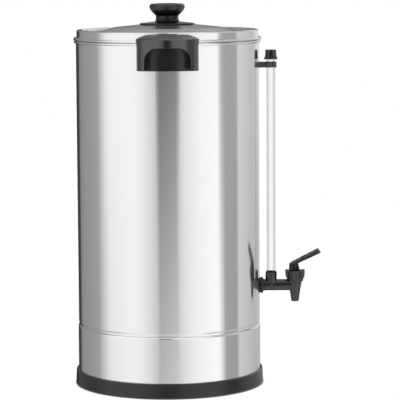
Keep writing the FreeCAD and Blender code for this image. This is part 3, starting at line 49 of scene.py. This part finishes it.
def noiseNode(tree, vector, scale, detail=2.0, roughness=0.5):
    node = tree.nodes.new("ShaderNodeTexNoise")
    setSockets(node, {"Scale": scale, "Detail": detail, "Roughness": roughness})
    tree.links.new(vector, node.inputs["Vector"])
    return node.outputs["Fac"]


def rangeNode(tree, value, fromLow, fromHigh, toLow, toHigh):
    node = tree.nodes.new("ShaderNodeMapRange")
    setSockets(node, {"From Min": fromLow, "From Max": fromHigh, "To Min": toLow, "To Max": toHigh})
    tree.links.new(value, node.inputs["Value"])
    return node.outputs["Result"]


def tintNode(tree, value, dark, light):
    node = tree.nodes.new("ShaderNodeMix")
    node.data_type = "RGBA"
    node.inputs["A"].default_value = (*dark, 1)
    node.inputs["B"].default_value = (*light, 1)
    tree.links.new(value, node.inputs["Factor"])
    return node.outputs["Result"]


def bumpNode(tree, height, strength, distance):
    node = tree.nodes.new("ShaderNodeBump")
    setSockets(node, {"Strength": strength, "Distance": distance})
    tree.links.new(height, node.inputs["Height"])
    return node


def blendNode(tree, share, first, second):
    kept = mathNode(tree, "MULTIPLY", first, mathNode(tree, "SUBTRACT", 1.0, share))
    return mathNode(tree, "ADD", kept, mathNode(tree, "MULTIPLY", second, share))


def splitNode(tree, vector):
    node = tree.nodes.new("ShaderNodeSeparateXYZ")
    tree.links.new(vector, node.inputs[0])
    return node.outputs


def opennessNode(tree, reach):
    # 1 in the open, less where another surface stands within reach
    node = tree.nodes.new("ShaderNodeAmbientOcclusion")
    node.samples = 8
    node.inputs["Distance"].default_value = reach
    return node.outputs["AO"]


def objectPlace(tree):
    return tree.nodes.new("ShaderNodeTexCoord").outputs["Object"]


def noisyColour(tree, shader, noise, dark, light, span=noiseSpan):
    tint = tintNode(tree, rangeNode(tree, noise, *span, 0.0, 1.0), dark, light)
    tree.links.new(tint, shader.inputs["Base Color"])


def noisyRoughness(tree, shader, noise, low, high):
    tree.links.new(rangeNode(tree, noise, *noiseSpan, low, high), shader.inputs["Roughness"])


# Steel, brushed round the axis

steels = {
    "bodySteel": {"dark": (0.83, 0.83, 0.83), "light": (0.89, 0.89, 0.887), "rough": (0.13, 0.16),
                  "anisotropy": 0.9, "linesPerMetre": 2200, "bump": 0.03},
    "lidSteel": {"dark": (0.80, 0.80, 0.80), "light": (0.88, 0.88, 0.877), "rough": (0.13, 0.17),
                 "anisotropy": 0.9, "linesPerMetre": 2200, "bump": 0.03},
    "innerSteel": {"dark": (0.70, 0.70, 0.70), "light": (0.84, 0.84, 0.835), "rough": (0.26, 0.36),
                   "anisotropy": 0.6, "linesPerMetre": 900, "bump": 0.06},
}

brushing = {
    "alongLines": 5.0,  # how fast a line changes on its way round
    "heightWeight": 1.7,
    "detail": 3.0,
    "roughness": 0.65,
    "depth": 0.00004,
    "cloudScale": 14.0,
    "cloudShare": 0.08,
    "turn": 0.25,
    "nearAxis": 0.001,
}


def aroundAxis(tree, linesPerMetre):
    # lines that run round the urn's axis: radius and height both count, the angle hardly does
    x, y, z = splitNode(tree, objectPlace(tree))
    square = mathNode(tree, "ADD", mathNode(tree, "POWER", x, 2.0), mathNode(tree, "POWER", y, 2.0))
    radius = mathNode(tree, "SQRT", square)
    climb = mathNode(tree, "ADD", radius, mathNode(tree, "MULTIPLY", z, brushing["heightWeight"]))
    safe = mathNode(tree, "MAXIMUM", radius, brushing["nearAxis"])
    together = tree.nodes.new("ShaderNodeCombineXYZ")
    for index, side in enumerate((x, y)):
        bearing = mathNode(tree, "DIVIDE", side, safe)
        tree.links.new(mathNode(tree, "MULTIPLY", bearing, brushing["alongLines"]), together.inputs[index])
    tree.links.new(mathNode(tree, "MULTIPLY", climb, linesPerMetre), together.inputs[2])
    return together.outputs[0]


def brushedSteel(name):
    look = steels[name]
    material, tree, shader = newMaterial(name)
    lines = noiseNode(tree, aroundAxis(tree, look["linesPerMetre"]), 1.0, brushing["detail"],
                      brushing["roughness"])
    clouds = noiseNode(tree, objectPlace(tree), brushing["cloudScale"])
    mixed = mathNode(tree, "ADD", mathNode(tree, "MULTIPLY", lines, 1.0 - brushing["cloudShare"]),
                     mathNode(tree, "MULTIPLY", clouds, brushing["cloudShare"]))
    noisyColour(tree, shader, mixed, look["dark"], look["light"])
    noisyRoughness(tree, shader, mixed, *look["rough"])
    relief = bumpNode(tree, lines, look["bump"], brushing["depth"])
    tree.links.new(relief.outputs["Normal"], shader.inputs["Normal"])
    tangent = tree.nodes.new("ShaderNodeTangent")
    tangent.direction_type = "RADIAL"
    tangent.axis = "Z"
    tree.links.new(tangent.outputs[0], shader.inputs["Tangent"])
    setSockets(shader, {"Metallic": 1.0, "Anisotropic": look["anisotropy"],
                        "Anisotropic Rotation": brushing["turn"]})
    return material


# Plain metals: screws, pins, heaters

plainMetals = {
    "screwSteel": {"dark": (0.52, 0.52, 0.53), "light": (0.68, 0.68, 0.69), "rough": (0.22, 0.34),
                   "grain": 900},
    "pumpAluminium": {"dark": (0.66, 0.66, 0.67), "light": (0.80, 0.80, 0.81), "rough": (0.28, 0.42),
                      "grain": 500},
    "elementSteel": {"dark": (0.20, 0.19, 0.18), "light": (0.38, 0.36, 0.33), "rough": (0.40, 0.60),
                     "grain": 260},
    "pinBrass": {"dark": (0.62, 0.46, 0.20), "light": (0.80, 0.63, 0.32), "rough": (0.24, 0.36),
                 "grain": 700},
}

metalGrain = {"detail": 3.0, "roughness": 0.6, "bump": 0.08, "depth": 0.0001}


def plainMetal(name):
    look = plainMetals[name]
    material, tree, shader = newMaterial(name)
    grain = noiseNode(tree, objectPlace(tree), look["grain"], metalGrain["detail"], metalGrain["roughness"])
    noisyColour(tree, shader, grain, look["dark"], look["light"])
    noisyRoughness(tree, shader, grain, *look["rough"])
    relief = bumpNode(tree, grain, metalGrain["bump"], metalGrain["depth"])
    tree.links.new(relief.outputs["Normal"], shader.inputs["Normal"])
    shader.inputs["Metallic"].default_value = 1.0
    return material


# Plastics, rubber and ceramic

plastics = {
    "basePlastic": {"dark": (0.010, 0.010, 0.011), "light": (0.015, 0.015, 0.016), "rough": (0.26, 0.32),
                    "grain": 2600, "bump": 0.10, "ior": 1.53, "edge": 0.0008},
    "gripPlastic": {"dark": (0.003, 0.003, 0.0035), "light": (0.006, 0.006, 0.0065), "rough": (0.17, 0.21),
                    "grain": 2600, "bump": 0.06, "ior": 1.95, "edge": 0.0010, "round": 0.13,
                    "recessAt": 0.130, "frontAt": 0.136, "recessShadeIor": 1.65},
    "knobPlastic": {"dark": (0.004, 0.004, 0.0045), "light": (0.008, 0.008, 0.0085), "rough": (0.18, 0.23),
                    "grain": 2400, "bump": 0.08, "ior": 1.65, "edge": 0.0004, "creaseReach": 0.016,
                    "creaseShadeShine": 0.04},
    "tapPlastic": {"dark": (0.003, 0.003, 0.004), "light": (0.006, 0.006, 0.007), "rough": (0.05, 0.09),
                   "grain": 150, "bump": 0.6, "depth": 0.0006, "ior": 1.75, "edge": 0.0004,
                   "creaseReach": 0.008, "creaseShadeShine": 0.10},
    "clipPlastic": {"dark": (0.055, 0.055, 0.056), "light": (0.080, 0.080, 0.081), "rough": (0.22, 0.34),
                    "grain": 900, "bump": 0.06, "ior": 1.5, "edge": 0.0004},
    "sealRubber": {"dark": (0.010, 0.010, 0.010), "light": (0.018, 0.018, 0.018), "rough": (0.35, 0.45),
                   "grain": 1500, "bump": 0.15, "ior": 1.5, "edge": 0.0003},
    "silicone": {"dark": (0.60, 0.60, 0.58), "light": (0.74, 0.74, 0.72), "rough": (0.40, 0.55),
                 "grain": 600, "bump": 0.08, "ior": 1.45},
    "footRubber": {"dark": (0.014, 0.014, 0.014), "light": (0.024, 0.024, 0.024), "rough": (0.65, 0.85),
                   "grain": 1500, "bump": 0.30, "ior": 1.45},
    "ceramic": {"dark": (0.66, 0.65, 0.60), "light": (0.78, 0.77, 0.73), "rough": (0.45, 0.60),
                "grain": 800, "bump": 0.10, "ior": 1.45},
    "wireSleeve": {"dark": (0.58, 0.58, 0.57), "light": (0.72, 0.72, 0.71), "rough": (0.45, 0.60),
                   "grain": 1500, "bump": 0.15, "ior": 1.45},
}

moulding = {
    "grainRoughness": 0.55,
    "cloudScale": 60.0,
    "depth": 0.00008,
    "edgeSamples": 4,
    "creaseFrom": 0.45,
    "creaseTo": 0.95,
    "plainShine": 0.5,
}


def softEdge(tree, radius):
    node = tree.nodes.new("ShaderNodeBevel")
    node.samples = moulding["edgeSamples"]
    node.inputs["Radius"].default_value = radius
    return node.outputs[0]


def rounderFront(tree, shader, place, normal, look):
    # the grip's front looks rounder from side to side than one plain arc; its recess doesn't, and gets a
    # lower IOR, a painted shade that makes it reflect less than the front
    sides = splitNode(tree, place)
    across, outward = sides[0], mathNode(tree, "ABSOLUTE", sides[1])
    square = mathNode(tree, "MULTIPLY", across, across)
    fall = mathNode(tree, "MULTIPLY", square, -0.5 / look["round"])  # the square over twice the radius
    rounded = bumpNode(tree, fall, 1.0, 1.0)
    front = rangeNode(tree, outward, look["recessAt"], look["frontAt"], 0.0, 1.0)
    tree.links.new(front, rounded.inputs["Strength"])
    tree.links.new(normal, rounded.inputs["Normal"])
    # painted shade: a lower IOR in the recess than on the front, so the recess reflects less
    recessShadeGloss = rangeNode(tree, outward, look["recessAt"], look["frontAt"], look["recessShadeIor"], look["ior"])
    tree.links.new(recessShadeGloss, shader.inputs["IOR"])
    return rounded.outputs["Normal"]


def shadeCreaseShine(tree, shader, look):
    # painted shade: less shine where pieces meet, as between the knob and its guard, so the crease reads as
    # shaded
    shine = rangeNode(tree, opennessNode(tree, look["creaseReach"]), moulding["creaseFrom"],
                      moulding["creaseTo"], look["creaseShadeShine"], moulding["plainShine"])
    tree.links.new(shine, shader.inputs["Specular IOR Level"])


def plastic(name):
    look = plastics[name]
    material, tree, shader = newMaterial(name)
    place = objectPlace(tree)
    grain = noiseNode(tree, place, look["grain"], roughness=moulding["grainRoughness"])
    clouds = noiseNode(tree, place, moulding["cloudScale"])
    noisyColour(tree, shader, clouds, look["dark"], look["light"])
    noisyRoughness(tree, shader, clouds, *look["rough"])
    relief = bumpNode(tree, grain, look["bump"], look.get("depth", moulding["depth"]))
    if "edge" in look:
        smooth = softEdge(tree, look["edge"])
        if "round" in look:
            smooth = rounderFront(tree, shader, place, smooth, look)
        tree.links.new(smooth, relief.inputs["Normal"])
    tree.links.new(relief.outputs["Normal"], shader.inputs["Normal"])
    if "creaseReach" in look:
        # painted shade in the creases of the knob and the tap
        shadeCreaseShine(tree, shader, look)
    shader.inputs["IOR"].default_value = look["ior"]
    return material


# Clear pieces: the sight glass and the lamps

tube = {"face": (0.98, 0.98, 0.98), "edge": (0.42, 0.42, 0.42), "coat": (0.9, 0.9, 0.9, 1), "shine": 0.45,
        "blend": 0.15, "rough": (0.05, 0.07), "smears": 30.0}


def clearTube():
    # a thin clear wall: see-through at its face, darker and shiny towards its edges
    material, tree, shader = newMaterial("tubeGlass")
    noisyRoughness(tree, shader, noiseNode(tree, objectPlace(tree), tube["smears"]), *tube["rough"])
    setSockets(shader, {"Base Color": tube["coat"], "Metallic": 1.0})
    slant = tree.nodes.new("ShaderNodeLayerWeight")
    slant.inputs["Blend"].default_value = tube["blend"]
    clear = tree.nodes.new("ShaderNodeBsdfTransparent")
    seenThrough = tintNode(tree, slant.outputs["Facing"], tube["face"], tube["edge"])
    tree.links.new(seenThrough, clear.inputs["Color"])
    mix = tree.nodes.new("ShaderNodeMixShader")
    tree.links.new(mathNode(tree, "MULTIPLY", slant.outputs["Fresnel"], tube["shine"]), mix.inputs[0])
    tree.links.new(clear.outputs[0], mix.inputs[1])
    tree.links.new(shader.outputs[0], mix.inputs[2])
    tree.links.new(mix.outputs[0], tree.nodes["Material Output"].inputs["Surface"])
    return material


lampColours = {
    "redLens": ((0.30, 0.005, 0.005), (0.50, 0.02, 0.015)),
    "greenLens": ((0.01, 0.18, 0.03), (0.03, 0.32, 0.06)),
}

lens = {"facets": 420.0, "facetDetail": 1.0, "facetSpan": (0.35, 0.65), "bump": 0.2, "depth": 0.0002,
        "rough": 0.12, "clear": 0.35, "ior": 1.49}


def lampLens(name):
    dark, light = lampColours[name]
    material, tree, shader = newMaterial(name)
    facets = noiseNode(tree, objectPlace(tree), lens["facets"], lens["facetDetail"])
    noisyColour(tree, shader, facets, dark, light, lens["facetSpan"])
    relief = bumpNode(tree, facets, lens["bump"], lens["depth"])
    tree.links.new(relief.outputs["Normal"], shader.inputs["Normal"])
    setSockets(shader, {"Roughness": lens["rough"], "Transmission Weight": lens["clear"],
                        "IOR": lens["ior"]})
    return material


# Which piece has which finish

finishes = {"tubeGlass": clearTube()}
finishes.update({name: brushedSteel(name) for name in steels})
finishes.update({name: plainMetal(name) for name in plainMetals})
finishes.update({name: plastic(name) for name in plastics})
finishes.update({name: lampLens(name) for name in lampColours})
print("finishes made:", len(finishes))

piecesOfFinish = {
    "bodySteel": ["tank_shell", "lower_skirt"],
    "lidSteel": ["lid"],
    "innerSteel": ["tank_floor", "coffee_basket", "basket_spreader"],
    "screwSteel": ["bottom_plate", "bottom_screws", "tie_studs", "tie_nuts", "handle_screws",
                   "bracket_screw", "knob_screw", "tap_spring", "pump_valve"],
    "pumpAluminium": ["pump_tube", "pump_foot", "brew_heater"],
    "elementSteel": ["keep_warm_heater"],
    "pinBrass": ["inlet_pins"],
    "basePlastic": ["base_ring"],
    "gripPlastic": ["left_handle", "right_handle"],
    "knobPlastic": ["lid_knob", "knob_guard"],
    "tapPlastic": ["tap_body", "tap_bonnet", "tap_lever", "lever_pin", "tap_nut", "tap_stem", "gauge_cap",
                   "switch_housing", "switch_rocker", "inlet_housing", "tap_outer_gasket"],
    "clipPlastic": ["gauge_bracket"],
    "silicone": ["tap_seat_cup", "tap_inner_gasket", "handle_seals", "bracket_seal", "knob_washer"],
    "sealRubber": ["gauge_seal"],
    "footRubber": ["rubber_feet"],
    "ceramic": ["thermostat", "thermal_cutout", "terminal_block"],
    "wireSleeve": ["wiring"],
    "tubeGlass": ["gauge_tube"],
    "redLens": ["heating_lamp"],
    "greenLens": ["ready_lamp"],
}
for finish, pieces in piecesOfFinish.items():
    for piece in pieces:
        for slot in urnNodes[piece].material_slots:
            slot.material = finishes[finish]
print("pieces finished:", sum(len(pieces) for pieces in piecesOfFinish.values()))


# Room light round the urn

room = {
    # degrees from the camera's side towards the tap, brightness level with the urn, brightness lower down
    "bands": [
        (-180, 0.03, 0.03), (-151, 0.05, 0.06), (-147, 0.24, 0.26), (-134, 0.31, 0.31), (-113, 0.36, 0.35),
        (-99, 0.40, 0.40), (-96.5, 0.50, 0.46), (-93, 0.65, 0.57), (-88.5, 0.84, 0.63), (-83.5, 0.99, 0.75),
        (-78, 1.06, 0.86), (-46, 1.08, 1.00), (-36, 1.02, 0.96), (-25, 0.86, 0.84), (-19, 0.74, 0.72),
        (-13.2, 0.66, 0.64), (-12.2, 0.02, 0.69), (11, 0.08, 0.86), (12, 0.74, 0.74), (25, 0.94, 0.90),
        (38, 1.05, 1.02), (65, 1.10, 1.12), (69, 0.44, 1.10), (73, 0.42, 0.80), (76, 0.42, 0.40),
        (96, 0.42, 0.36), (99, 0.74, 0.66), (134, 0.57, 0.52), (142, 0.64, 0.47), (152, 0.80, 0.44),
        (165, 0.80, 0.44), (180, 0.03, 0.03),
    ],
    # heights, as the sine of the angle above the horizon
    "lowFrom": -0.05,
    "lowTo": -0.21,
    "wallFrom": 0.06,
    "wallTo": 0.50,
    "wallStep": 0.01,
    "topFrom": 0.70,
    "topTo": 0.86,
    # brightness
    "wallLow": 0.22,
    "wallHigh": 0.34,
    "top": 0.95,
    "background": 1.0,
}


def bandRamp(tree, turn, column):
    ramp = tree.nodes.new("ShaderNodeValToRGB")
    tree.links.new(turn, ramp.inputs[0])
    stops = ramp.color_ramp.elements
    while len(stops) > 1:
        stops.remove(stops[-1])
    for index, band in enumerate(room["bands"]):
        place = (band[0] + 180) / 360
        stop = stops[0] if index == 0 else stops.new(place)
        stop.position = place
        stop.color = (band[column] / 2,) * 3 + (1,)  # halved, since a ramp stops at 1
    return mathNode(tree, "MULTIPLY", ramp.outputs[0], 2.0)


def wallsAndBands(tree, direction):
    x, y, z = splitNode(tree, direction)
    angle = mathNode(tree, "ARCTAN2", x, mathNode(tree, "MULTIPLY", y, -1.0))
    turn = mathNode(tree, "ADD", mathNode(tree, "DIVIDE", angle, 2 * math.pi), 0.5)
    below = rangeNode(tree, z, room["lowFrom"], room["lowTo"], 0.0, 1.0)
    around = blendNode(tree, below, bandRamp(tree, turn, 1), bandRamp(tree, turn, 2))
    raised = rangeNode(tree, z, room["wallFrom"] - room["wallStep"], room["wallFrom"], 0.0, 1.0)
    wall = rangeNode(tree, z, room["wallFrom"], room["wallTo"], room["wallLow"], room["wallHigh"])
    around = mathNode(tree, "MAXIMUM", around, mathNode(tree, "MULTIPLY", raised, wall))
    above = rangeNode(tree, z, room["topFrom"], room["topTo"], 0.0, 1.0)
    return blendNode(tree, above, around, room["top"])


def makeRoom():
    world = bpy.data.worlds.new("studio")
    bpy.context.scene.world = world
    world.use_nodes = True
    tree = world.node_tree
    tree.nodes.clear()
    lit = tree.nodes.new("ShaderNodeBackground")
    direction = tree.nodes.new("ShaderNodeTexCoord").outputs["Generated"]
    tree.links.new(wallsAndBands(tree, direction), lit.inputs["Color"])
    plain = tree.nodes.new("ShaderNodeBackground")
    plain.inputs["Color"].default_value = (room["background"],) * 3 + (1,)
    path = tree.nodes.new("ShaderNodeLightPath")
    seen = mathNode(tree, "MAXIMUM", path.outputs["Is Camera Ray"], path.outputs["Is Transmission Ray"])
    choose = tree.nodes.new("ShaderNodeMixShader")
    tree.links.new(seen, choose.inputs[0])
    tree.links.new(lit.outputs[0], choose.inputs[1])
    tree.links.new(plain.outputs[0], choose.inputs[2])
    output = tree.nodes.new("ShaderNodeOutputWorld")
    tree.links.new(choose.outputs[0], output.inputs[0])


makeRoom()
print("room lit:", len(room["bands"]), "bands")


# Floor

paper = {
    "radius": 1.6,
    "corners": 128,
    "tone": (0.90, 0.90, 0.90),
    "fibres": 60.0,
    "fibreDetail": 3.0,
    "fibreShade": 0.99,
    "rough": 0.9,
    "shine": 0.1,
    "glow": 1.02,
    "contactShadow": 0.10,
    "contactFrom": 0.35,
    "contactReach": 0.0025,
}


def floorPaper():
    material, tree, shader = newMaterial("floorPaper")
    fibres = noiseNode(tree, objectPlace(tree), paper["fibres"], paper["fibreDetail"])
    shaded = [value * paper["fibreShade"] for value in paper["tone"]]
    tree.links.new(tintNode(tree, fibres, shaded, paper["tone"]), shader.inputs["Base Color"])
    setSockets(shader, {"Roughness": paper["rough"], "Specular IOR Level": paper["shine"]})
    # seen directly, the floor is as white as the background, like a lit studio table, with a painted
    # contact shadow where a piece stands on it
    glow = tree.nodes.new("ShaderNodeEmission")
    # painted contact shadow: the glow darkens where another surface stands close to the floor
    white = rangeNode(tree, opennessNode(tree, paper["contactReach"]), paper["contactFrom"], 1.0,
                      paper["contactShadow"], paper["glow"])
    tree.links.new(white, glow.inputs["Color"])
    path = tree.nodes.new("ShaderNodeLightPath")
    choose = tree.nodes.new("ShaderNodeMixShader")
    tree.links.new(path.outputs["Is Camera Ray"], choose.inputs[0])
    tree.links.new(shader.outputs[0], choose.inputs[1])
    tree.links.new(glow.outputs[0], choose.inputs[2])
    tree.links.new(choose.outputs[0], tree.nodes["Material Output"].inputs["Surface"])
    return material


def makeFloor():
    radius, count = paper["radius"], paper["corners"]
    angles = [2 * math.pi * k / count for k in range(count)]
    points = [(radius * math.cos(angle), radius * math.sin(angle), 0) for angle in angles]
    mesh = bpy.data.meshes.new("floor")
    mesh.from_pydata(points, [], [list(range(count))])
    floor = bpy.data.objects.new("floor", mesh)
    bpy.context.scene.collection.objects.link(floor)
    mesh.materials.append(floorPaper())
    floor.visible_glossy = False  # the steel shows the room's bands down to the floor line


makeFloor()
print("floor laid")


# Camera, where the photograph was taken from

photoCamera = {
    "place": (0.0, -2.8587, 0.5694),
    "down": 0.113846,
    "turn": 0.014558,
    "roll": 0.0055154,
    "lens": 195.8,
    "sensor": 36.0,
    "farClip": 50,
}


def makeCamera():
    data = bpy.data.cameras.new("photoCamera")
    data.sensor_width = photoCamera["sensor"]
    data.sensor_fit = "HORIZONTAL"
    data.lens = photoCamera["lens"]
    data.clip_end = photoCamera["farClip"]
    camera = bpy.data.objects.new("photoCamera", data)
    down, turn, roll = photoCamera["down"], photoCamera["turn"], photoCamera["roll"]
    right = Vector((math.cos(turn), -math.sin(turn), 0))
    forward = Vector((math.sin(turn) * math.cos(down), math.cos(turn) * math.cos(down), -math.sin(down)))
    up = right.cross(forward)
    rolledRight = right * math.cos(roll) - up * math.sin(roll)
    rolledUp = right * math.sin(roll) + up * math.cos(roll)
    turnMatrix = Matrix((rolledRight, rolledUp, -forward)).transposed().to_4x4()
    camera.matrix_world = Matrix.Translation(Vector(photoCamera["place"])) @ turnMatrix
    bpy.context.scene.collection.objects.link(camera)
    bpy.context.scene.camera = camera


makeCamera()
bpy.context.scene.view_settings.view_transform = "Standard"
print("camera set")
